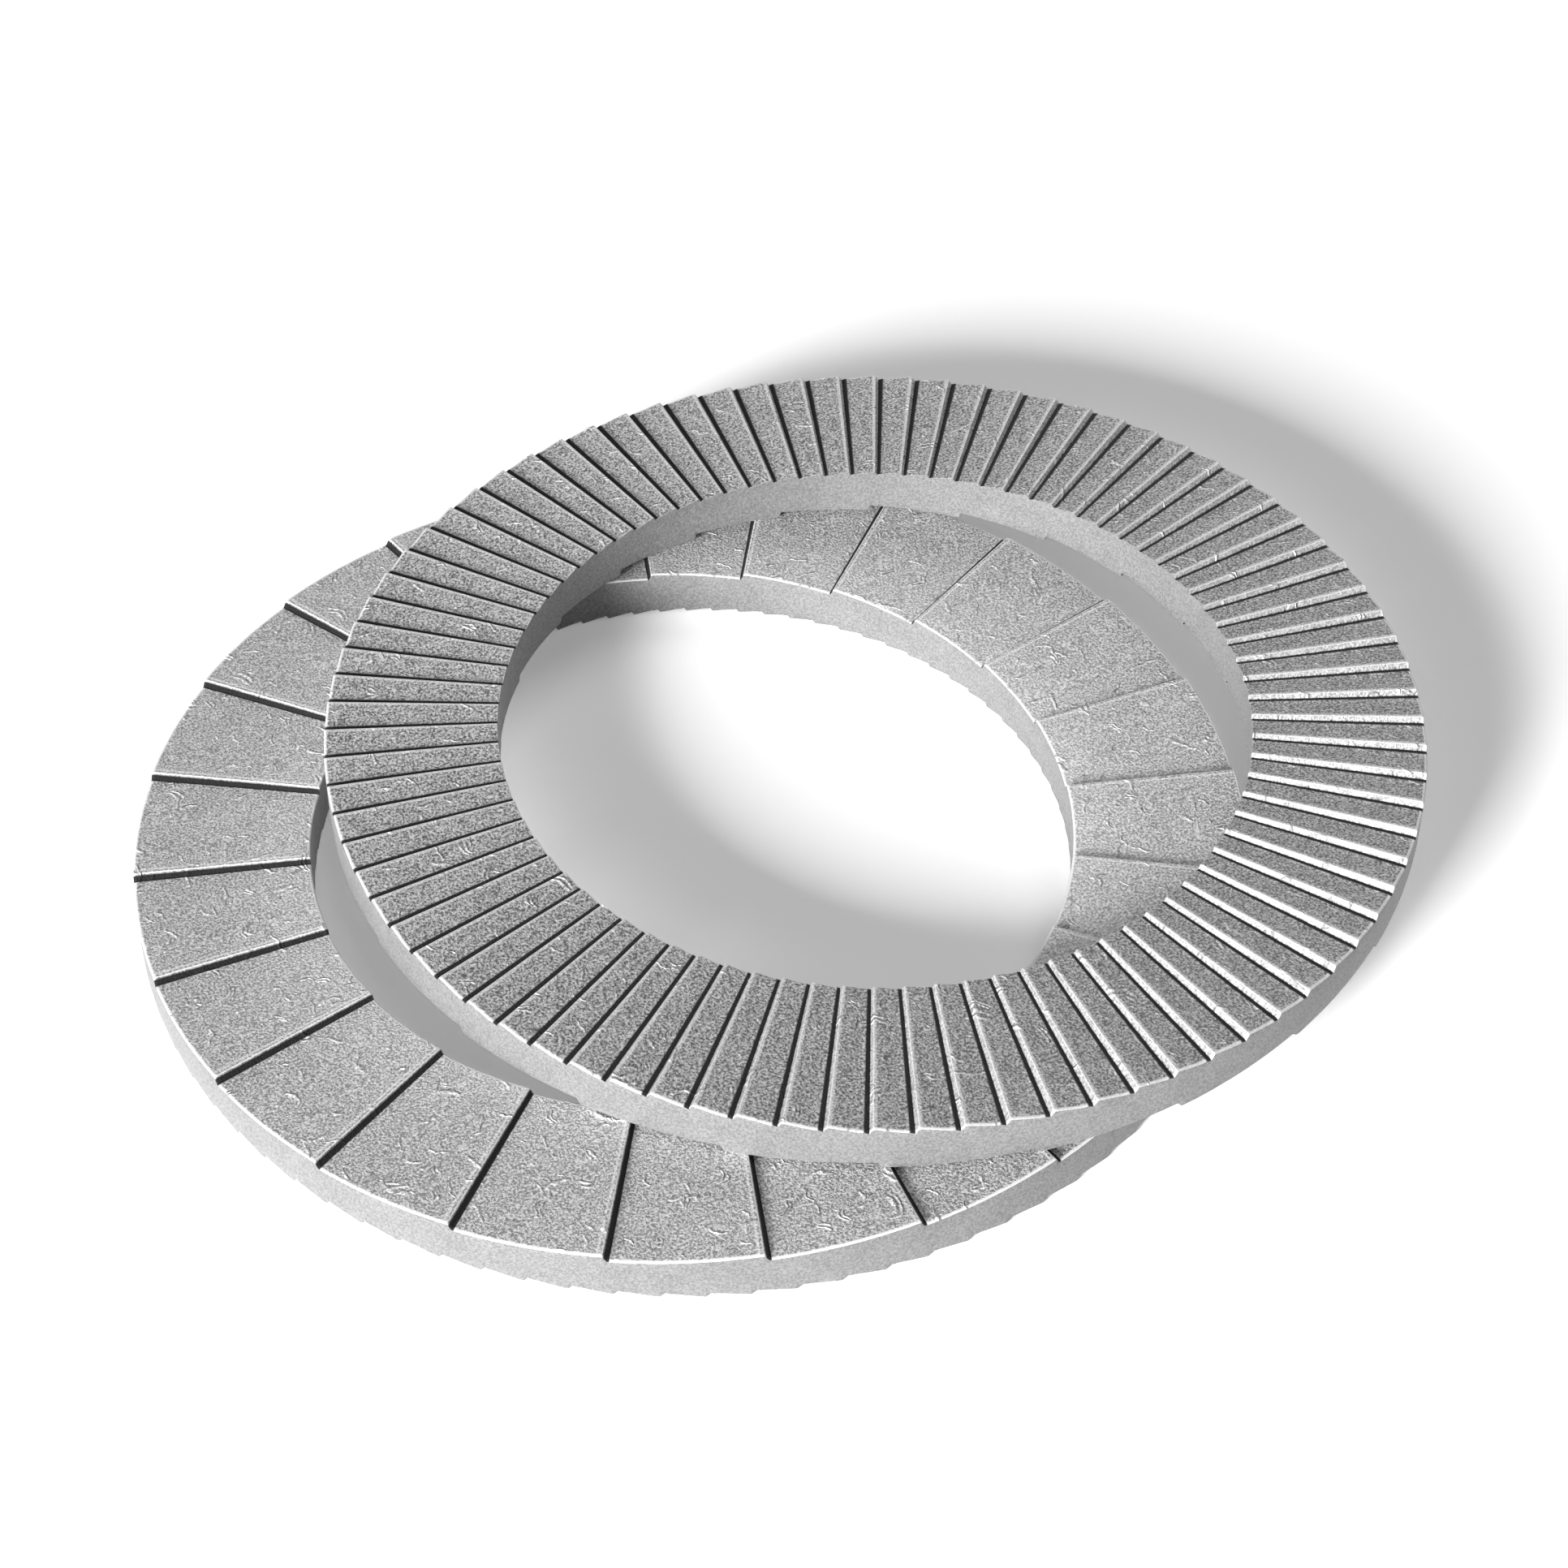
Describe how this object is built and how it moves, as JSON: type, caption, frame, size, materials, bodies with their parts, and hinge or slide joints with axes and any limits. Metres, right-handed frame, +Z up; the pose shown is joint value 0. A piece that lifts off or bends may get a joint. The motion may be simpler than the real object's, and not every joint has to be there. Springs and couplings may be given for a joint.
{
  "type": "wedge lock washer pair",
  "caption": "Pair of identical flat ring washers: wide wedge cams on the faces that meet and fine saw teeth on the outer faces stop a bolt from turning loose.",
  "frame": {"origin": "centre of the pair's outline, on the surface that it lies on", "axes": "+Z up, along the axis of both washers, out of the upper washer's tooth face. +X from the lower washer's axis to the upper washer's, along the longest side. +Y completes the right-handed frame."},
  "size_m": [0.075, 0.063, 0.0061],
  "materials": {
    "coated_steel": "matte grey zinc-flake coat over hardened steel, with a fine sandy grain"
  },
  "bodies": {
    "root": {"lower_washer": "coated_steel", "upper_washer": "coated_steel"}
  },
  "joints": []
}
